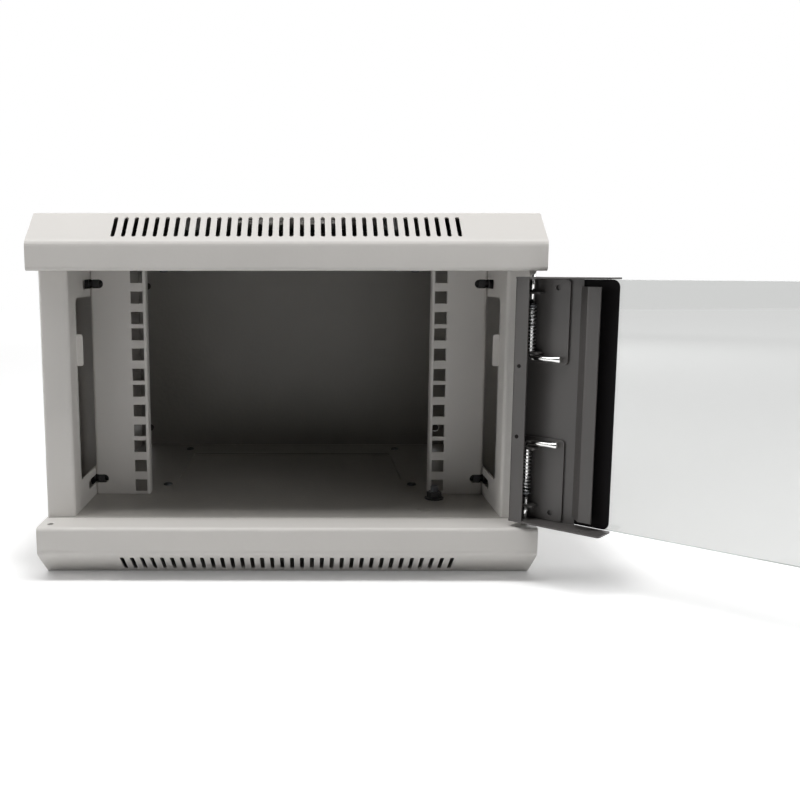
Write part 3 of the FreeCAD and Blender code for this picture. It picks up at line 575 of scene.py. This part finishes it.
# %% Spin a profile
def spun_points(profile, steps):
    # One ring of points round the z axis for each (radius, height) of the profile.
    points = []
    for r, h in profile:
        for k in range(steps):
            a = 2 * math.pi * k / steps
            points.append(Vector((r * math.cos(a), r * math.sin(a), h)))
    return points


def spun(profile, steps):
    # Points and faces of a turned piece, closed at both ends.
    faces = ring_faces(len(profile), steps)
    faces.append(tuple(range(steps))[::-1])
    faces.append(tuple(range((len(profile) - 1) * steps, len(profile) * steps)))
    return spun_points(profile, steps), faces


print("a turned disc of 48 steps has", len(spun([(1, 0), (1, 1)], 48)[1]), "faces")

# %% One pan-head screw
# Head radius, head height, shank radius and length.
FRAME_SCREW = (3.6, 1.9, 1.95, 6.5)
COVER_SCREW = (3.8, 1.8, 1.95, 6.0)
PLATE_SCREW = (3.6, 1.9, 1.95, 7.0)
CAM_SCREW = (5.0, 2.2, 2.0, 8.0)
SCREW_STEPS = 48
SCREW_PITCH = 0.8
POINT_LENGTH = 0.5
UNTHREADED = 0.8
NECK_LENGTH = 0.2
# Shares of the shank's radius: its point, and the root of its thread.
POINT_SHARE = 0.55
ROOT_SHARE = 0.86
# Shares of the head's radius: its flat top, the round beside it, and the inner rings of points.
FLAT_SHARE = 0.42
ROUND_SHARE = 0.58
RING_SHARES = (0.36, 0.30, 0.24, 0.18, 0.12, 0.06, 0.01)
# Shares of the head's height: its upright rim, the dome above it, and where the top begins.
RIM_SHARE = 0.35
DOME_SHARE = 0.65
TOP_SHARE = 0.6
DOME_STEPS = 6
# The cross: arm length and half width by the head's radius, depth by its height, and how much of the
# depth is gone at the end of an arm.
ARM_SHARE = 0.52
HALF_SLOT_SHARE = 0.12
DEPTH_SHARE = 0.75
ARM_RISE = 0.6


def cross_screw(head_r, head_h, shank_r, length):
    # Head on the plane z = 0 and above, shank below; a thread shows as ridges along the shank.
    root_r = shank_r * ROOT_SHARE
    profile = [(shank_r * POINT_SHARE, -length)]
    for i in range(int((length - UNTHREADED) / SCREW_PITCH)):
        z = -length + POINT_LENGTH + i * SCREW_PITCH
        profile += [(root_r, z), (shank_r, z + SCREW_PITCH * 0.4), (shank_r, z + SCREW_PITCH * 0.5)]
    profile += [(root_r, -NECK_LENGTH), (root_r, 0.0), (head_r, 0.0), (head_r, head_h * RIM_SHARE)]
    for step in range(1, DOME_STEPS + 1):
        a = math.radians(90 * step / DOME_STEPS)
        profile.append((head_r * (FLAT_SHARE + ROUND_SHARE * math.cos(a)),
                        head_h * (RIM_SHARE + DOME_SHARE * math.sin(a))))
    profile += [(head_r * share, head_h) for share in RING_SHARES]
    points, faces = spun(profile, SCREW_STEPS)
    arm = head_r * ARM_SHARE
    half_slot = head_r * HALF_SLOT_SHARE
    for p in points:
        if p.z < head_h * TOP_SHARE:
            continue
        reach = max(abs(p.x), abs(p.y))
        if min(abs(p.x), abs(p.y)) < half_slot and reach < arm:
            p.z -= head_h * DEPTH_SHARE * (1 - ARM_RISE * reach / arm)
    return points, faces


print("points of one frame screw:", len(cross_screw(*FRAME_SCREW)[0]))


# %% The separate solids of a node
def islands(node_name):
    # The separate solids of a node, each as a list of its points.
    mesh = nodes[node_name].data
    keys = [tuple(round(c, 6) for c in v.co) for v in mesh.vertices]
    parent = {key: key for key in keys}

    def top(key):
        while parent[key] != key:
            parent[key] = parent[parent[key]]
            key = parent[key]
        return key

    for edge in mesh.edges:
        a, b = (top(keys[i]) for i in edge.vertices)
        if a != b:
            parent[a] = b
    groups = {}
    for key in parent:
        groups.setdefault(top(key), []).append(Vector(key))
    return list(groups.values())


print("frame screws in the frame:", len(islands("frame_screws")))

# %% All the pan-head screws
UP = Vector((0, 0, 1))
ACROSS = Vector((1, 0, 0))
# A point belongs to the head where it is nearly as far from the axis as the farthest one.
HEAD_POINT_SHARE = 0.8
# Screws end up at different angles, so each is turned by this many radians per point made so far.
SPIN_PER_POINT = 0.7
CREASE = math.radians(40.0)


def screw_set(name, node_name, body, axis, size):
    # A screw on each solid of the node; the head points where the solid is widest.
    single, single_faces = cross_screw(*size)
    points = []
    faces = []
    for group in islands(node_name):
        along = [p.dot(axis) for p in group]
        middle = sum(group, Vector()) / len(group)
        off = [(p - middle - axis * (p - middle).dot(axis)).length for p in group]
        widest = along[off.index(max(off))]
        out = axis if widest > (min(along) + max(along)) / 2 else -axis
        head_near = min(p.dot(out) for p, r in zip(group, off) if r > HEAD_POINT_SHARE * max(off))
        seat = middle + out * (head_near - middle.dot(out))
        turn = UP.rotation_difference(out)
        spin = Matrix.Rotation(SPIN_PER_POINT * len(points), 3, "Z")
        start = len(points)
        points += [seat + turn @ (spin @ (p * MM)) for p in single]
        faces += [tuple(start + i for i in face) for face in single_faces]
    item = piece_from(name, points, faces, FINISHES[node_name])
    split = item.modifiers.new("creases", "EDGE_SPLIT")
    split.split_angle = CREASE
    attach(item, body)
    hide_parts(node_name)
    return item


screw_sets = [
    screw_set("cross_screws_frames", "frame_screws", "cabinet", UP, FRAME_SCREW),
    screw_set("cross_screws_covers", "cover_screws", "cabinet", ACROSS, COVER_SCREW),
    screw_set("cross_screws_plates", "cable_plate_screws", "cabinet", UP, PLATE_SCREW),
    screw_set("cross_screw_cam", "cam_screw", "lock_rotor", into_cabinet, CAM_SCREW),
]
print("screw sets:", [s.name for s in screw_sets])

# %% [markdown]
# The earth terminal is a welded M6 stud with a nut. The stud is turned like the screws, with its thread
# as a stack of rings one pitch apart. Beside it the usual earth mark stands up from the floor pan: a
# ring with an upright bar and three ever shorter cross bars inside. It is a low mesh of its own, since
# a bump in the paint would give it no edge that catches the light.

# %% Earth stud
STUD_STEPS = 40
STUD_PITCH = 1.0
STUD_ROOT_R = 2.62
STUD_CREST_R = 2.98
THREAD_START = 1.8
THREAD_STOP = 0.8
STUD_FOOT = [(4.5, 0.0), (4.5, 1.45), (2.6, 1.45)]
stud_low, stud_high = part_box("earth_stud")
stud_middle = (stud_low + stud_high) / 2
stud_length = (stud_high.z - stud_low.z) / MM
profile = list(STUD_FOOT)
height = THREAD_START
while height < stud_length - THREAD_STOP:
    profile += [(STUD_ROOT_R, height), (STUD_CREST_R, height + 0.4),
                (STUD_CREST_R, height + 0.5), (STUD_ROOT_R, height + 0.9)]
    height += STUD_PITCH
profile += [(2.5, stud_length - 0.5), (2.1, stud_length)]
points, faces = spun(profile, STUD_STEPS)
base = Vector((stud_middle.x, stud_middle.y, stud_low.z))
stud = piece_from("earth_stud_threaded", [base + p * MM for p in points], faces, zinc_painted_shade)
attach(stud, "cabinet")
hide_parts("earth_stud")
print("earth stud", round(stud_length, 1), "mm long")

# %% Earth mark
FLOOR_TOP = -88.75
MARK_AT = Vector((101.5, -268.5, FLOOR_TOP))
MARK_HEIGHT = 0.25
MARK_FOOT = -0.05
MARK_RING = ((5.6, MARK_FOOT), (5.5, MARK_HEIGHT), (4.8, MARK_HEIGHT), (4.7, MARK_FOOT))
MARK_STEPS = 48
BAR_HALF = 0.35
UPRIGHT_TOP = 3.2
# Half length of each cross bar, and how far it lies from the middle of the ring.
CROSS_BARS = ((3.0, -0.2), (2.0, -1.5), (1.0, -2.8))
points = [MARK_AT + p for p in spun_points(MARK_RING, MARK_STEPS)]
faces = ring_faces(len(MARK_RING), MARK_STEPS)


def raised_bar(x0, x1, y0, y1):
    # A low block on the floor pan, without a bottom.
    start = len(points)
    for z in (MARK_FOOT, MARK_HEIGHT):
        for x, y in ((x0, y0), (x1, y0), (x1, y1), (x0, y1)):
            points.append(MARK_AT + Vector((x, y, z)))
    for face in ((4, 5, 6, 7), (0, 1, 5, 4), (1, 2, 6, 5), (2, 3, 7, 6), (3, 0, 4, 7)):
        faces.append(tuple(start + i for i in face))


raised_bar(-BAR_HALF, BAR_HALF, CROSS_BARS[0][1], UPRIGHT_TOP)
for half, y in CROSS_BARS:
    raised_bar(-half, half, y - BAR_HALF, y + BAR_HALF)
mark = piece_from("earth_mark", [p * MM for p in points], faces, inner_coat_painted_shade, smooth=False)
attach(mark, "cabinet")
print("earth mark at", [round(c, 1) for c in MARK_AT])

# %% [markdown]
# The photographs of such cabinets are taken against white paper. The floor here is a wide pale sheet.
# To the camera it glows just enough to reach white where it is lit. The glow is small close round the
# cabinet's foot, so the shadow there stays, and it grows outwards as the lamps reach the sheet less.
# Stronger lamps would whiten the sheet too, but they would also bleach the cabinet.

# %% Paper of the floor
FLOOR_Z = cad_box[0][2]
# The box of low glow, in metres: the cabinet's foot, and on the side of the open door a strip where
# the low glow paints a mild shadow of the door.
FOOT_AND_DOOR_SHADE_MIDDLE = (0.0225, -0.146, FLOOR_Z)
FOOT_AND_DOOR_SHADE_HALF = (0.1925, 0.146, 0.0)
GLOW_AT_FOOT = 0.10
GLOW_BESIDE = 0.46
GLOW_ADDED_FAR = 0.51
paper, tree, output = new_material("white_paper_floor")
place = add_node(tree, "ShaderNodeTexCoord")
from_foot = add_node(tree, "ShaderNodeVectorMath", {"operation": "SUBTRACT", 1: FOOT_AND_DOOR_SHADE_MIDDLE},
                     {0: (place, "Object")})
folded_over = add_node(tree, "ShaderNodeVectorMath", {"operation": "ABSOLUTE"}, {0: (from_foot, "Vector")})
beyond = add_node(tree, "ShaderNodeVectorMath", {"operation": "SUBTRACT", 1: FOOT_AND_DOOR_SHADE_HALF},
                  {0: (folded_over, "Vector")})
outside = add_node(tree, "ShaderNodeVectorMath", {"operation": "MAXIMUM", 1: (0.0, 0.0, 0.0)},
                   {0: (beyond, "Vector")})
foot_distance = add_node(tree, "ShaderNodeVectorMath", {"operation": "LENGTH"}, {0: (outside, "Vector")})
near_share = add_node(tree, "ShaderNodeMapRange",
                      {"interpolation_type": "SMOOTHSTEP", "From Min": 0.01, "From Max": 0.06,
                       "To Min": GLOW_AT_FOOT, "To Max": GLOW_BESIDE},
                      {"Value": (foot_distance, "Value")})
far_share = add_node(tree, "ShaderNodeMapRange",
                     {"From Min": 0.1, "From Max": 2.5, "To Min": 0.0, "To Max": GLOW_ADDED_FAR},
                     {"Value": (foot_distance, "Value")})
both_shares = add_node(tree, "ShaderNodeMath", {"operation": "ADD"},
                       {0: (near_share, "Result"), 1: (far_share, "Result")})
rays = add_node(tree, "ShaderNodeLightPath")
seen = add_node(tree, "ShaderNodeMath", {"operation": "MAXIMUM"},
                {0: (rays, "Is Camera Ray"), 1: (rays, "Is Transmission Ray")})
seen_any = add_node(tree, "ShaderNodeMath", {"operation": "MAXIMUM"},
                    {0: (seen, "Value"), 1: (rays, "Is Glossy Ray")})
glow_amount = add_node(tree, "ShaderNodeMath", {"operation": "MULTIPLY"},
                       {0: (seen_any, "Value"), 1: (both_shares, "Value")})
matt = add_node(tree, "ShaderNodeBsdfDiffuse", {"Color": linear("ececec")})
glow = add_node(tree, "ShaderNodeEmission", {"Color": (1, 1, 1, 1)}, {"Strength": (glow_amount, "Value")})
lit = add_node(tree, "ShaderNodeAddShader", None, {0: (matt, "BSDF"), 1: (glow, "Emission")})
tree.links.new(lit.outputs["Shader"], output.inputs["Surface"])
print("floor paper:", paper.name)

# %% Floor
# Half the side of the sheet, in metres.
FLOOR_HALF = 4.0
floor = piece_from("floor_sheet",
                   [(-FLOOR_HALF, -FLOOR_HALF, FLOOR_Z), (FLOOR_HALF, -FLOOR_HALF, FLOOR_Z),
                    (FLOOR_HALF, FLOOR_HALF, FLOOR_Z), (-FLOOR_HALF, FLOOR_HALF, FLOOR_Z)],
                   [(0, 1, 2, 3)], paper, smooth=False)
print("floor at z =", round(FLOOR_Z / MM, 2), "mm")

# %% [markdown]
# The cabinet hangs on a wall, which the picture doesn't show. Only the four fixing holes look through
# to it, so a card in a dim colour, painted shade of the wall behind, stands behind them, clear to the eye
# from its back and without any shadow. A whole wall would show in the picture, which is white all round.

# %% Wall behind the fixing holes
CARD_Y = 1.0 * MM
CARD_X = 156.0 * MM
CARD_Z = 84.0 * MM
wall_painted_shade, tree, output = new_material("wall_in_the_shade")
sides = add_node(tree, "ShaderNodeNewGeometry")
# The dim colour is painted shade: the wall behind the cabinet, in its shadow.
dim_wall = add_node(tree, "ShaderNodeBsdfDiffuse", {"Color": linear("4a4743")})
nothing = add_node(tree, "ShaderNodeBsdfTransparent")
one_sided = add_node(tree, "ShaderNodeMixShader", None,
                     {0: (sides, "Backfacing"), 1: (dim_wall, "BSDF"), 2: (nothing, "BSDF")})
tree.links.new(one_sided.outputs["Shader"], output.inputs["Surface"])
card = piece_from("wall_card",
                  [(-CARD_X, CARD_Y, -CARD_Z), (CARD_X, CARD_Y, -CARD_Z),
                   (CARD_X, CARD_Y, CARD_Z), (-CARD_X, CARD_Y, CARD_Z)],
                  [(0, 1, 2, 3)], wall_painted_shade, smooth=False)
card.visible_shadow = False
card.visible_diffuse = False
card.visible_glossy = False
print("wall card", round(2 * CARD_X / MM), "by", round(2 * CARD_Z / MM), "mm")

# %% [markdown]
# Round the sheet is the room. The camera, and whatever the glass lets through, sees a white backdrop.
# Polished metal sees that backdrop too, but towards the viewer's side it sees a darker room, and that
# contrast is what makes a pin or a spring look like metal.

# %% Room
ROOM_LIGHT = 0.02
world = bpy.data.worlds.new("studio")
bpy.context.scene.world = world
world.use_nodes = True
tree = world.node_tree
tree.nodes.clear()
room_out = add_node(tree, "ShaderNodeOutputWorld")
rays = add_node(tree, "ShaderNodeLightPath")
toward = add_node(tree, "ShaderNodeTexCoord")
split = add_node(tree, "ShaderNodeSeparateXYZ", None, {"Vector": (toward, "Generated")})
backdrop_share = add_node(tree, "ShaderNodeMapRange",
                          {"From Min": -0.55, "From Max": 0.1, "To Min": 0.06, "To Max": 1.0},
                          {"Value": (split, "Y")})
glossy_sight = add_node(tree, "ShaderNodeMath", {"operation": "MULTIPLY"},
                        {0: (rays, "Is Glossy Ray"), 1: (backdrop_share, "Result")})
straight_sight = add_node(tree, "ShaderNodeMath", {"operation": "MAXIMUM"},
                          {0: (rays, "Is Camera Ray"), 1: (rays, "Is Transmission Ray")})
sight = add_node(tree, "ShaderNodeMath", {"operation": "MAXIMUM"},
                 {0: (glossy_sight, "Value"), 1: (straight_sight, "Value")})
dim_room = add_node(tree, "ShaderNodeBackground", {"Color": (1, 1, 1, 1), "Strength": ROOM_LIGHT})
white = add_node(tree, "ShaderNodeBackground", {"Color": (1, 1, 1, 1), "Strength": 1.0})
both = add_node(tree, "ShaderNodeMixShader", None,
                {0: (sight, "Value"), 1: (dim_room, "Background"), 2: (white, "Background")})
tree.links.new(both.outputs["Shader"], room_out.inputs["Surface"])
print("room light strength", ROOM_LIGHT)

# %% [markdown]
# Studio light: a long strip above and a little in front, which makes the sloped nose and the lower
# ledge the brightest faces and leaves the inside dim under its roof, and weaker boxes at the sides. The
# open door throws its shade on the right pillar. One box behind only serves views of the back.


# %% Lamps
def softbox(name, place, target, width, height, power):
    # A glowing rectangle that faces its target; sizes in metres, power in watts.
    light = bpy.data.lights.new(name, "AREA")
    light.shape = "RECTANGLE"
    light.size = width
    light.size_y = height
    light.energy = power
    lamp = bpy.data.objects.new(name, light)
    lamp.location = place
    direction = Vector(target) - Vector(place)
    lamp.rotation_euler = direction.to_track_quat("-Z", "Y").to_euler()
    bpy.context.scene.collection.objects.link(lamp)
    return lamp


AIM = (0.0, -0.25, 0.0)
lamps = [
    softbox("overhead_strip", (0.0, -0.60, 1.5), (0.0, -0.3, 0.0), 1.6, 0.3, 20.0),
    softbox("left_top_softbox", (-1.0, -0.5, 1.2), AIM, 0.6, 0.6, 4.7),
    softbox("left_side_softbox", (-1.8, -0.55, 0.2), AIM, 0.6, 0.8, 5.2),
    softbox("right_high_softbox", (1.3, -1.3, 0.9), AIM, 1.0, 1.0, 5.0),
    softbox("right_low_softbox", (1.6, -1.0, 0.25), AIM, 1.0, 0.8, 4.5),
    softbox("rear_softbox", (0.7, 1.7, 0.9), AIM, 1.0, 1.0, 6.0),
]
print("lamps:", [lamp.name for lamp in lamps])

# %% [markdown]
# The camera was placed by matching the standard 10-inch hole grid of the rails, so distances are real.
# The picture was cropped off-centre, which a small lens shift repeats; turning the camera instead
# would change the perspective.

# %% Camera
CAMERA_PLACE = Vector((13.1 * MM, -960.7 * MM, 91.5 * MM))
LOOK_DOWN_DEG = 8.48
LOOK_LEFT_DEG = 0.23
SENSOR = 36.0
# In pixels of the square picture: its width, the focal length, and where the lens axis meets it.
PICTURE = 800.0
FOCAL = 947.9
AXIS_ACROSS = 301.8
AXIS_DOWN = 408.0
camera_data = bpy.data.cameras.new("camera")
camera_data.sensor_fit = "HORIZONTAL"
camera_data.sensor_width = SENSOR
camera_data.lens = SENSOR * (FOCAL / PICTURE)
camera_data.shift_x = (PICTURE / 2 - AXIS_ACROSS) / PICTURE
camera_data.shift_y = (AXIS_DOWN - PICTURE / 2) / PICTURE
camera_data.clip_start = 0.01
camera = bpy.data.objects.new("camera", camera_data)
camera.location = CAMERA_PLACE
camera.rotation_euler = (math.radians(90.0 - LOOK_DOWN_DEG), 0.0, math.radians(LOOK_LEFT_DEG))
bpy.context.scene.collection.objects.link(camera)
bpy.context.scene.camera = camera
bpy.context.scene.view_settings.view_transform = "Standard"
print("lens", round(camera_data.lens, 2), "mm")
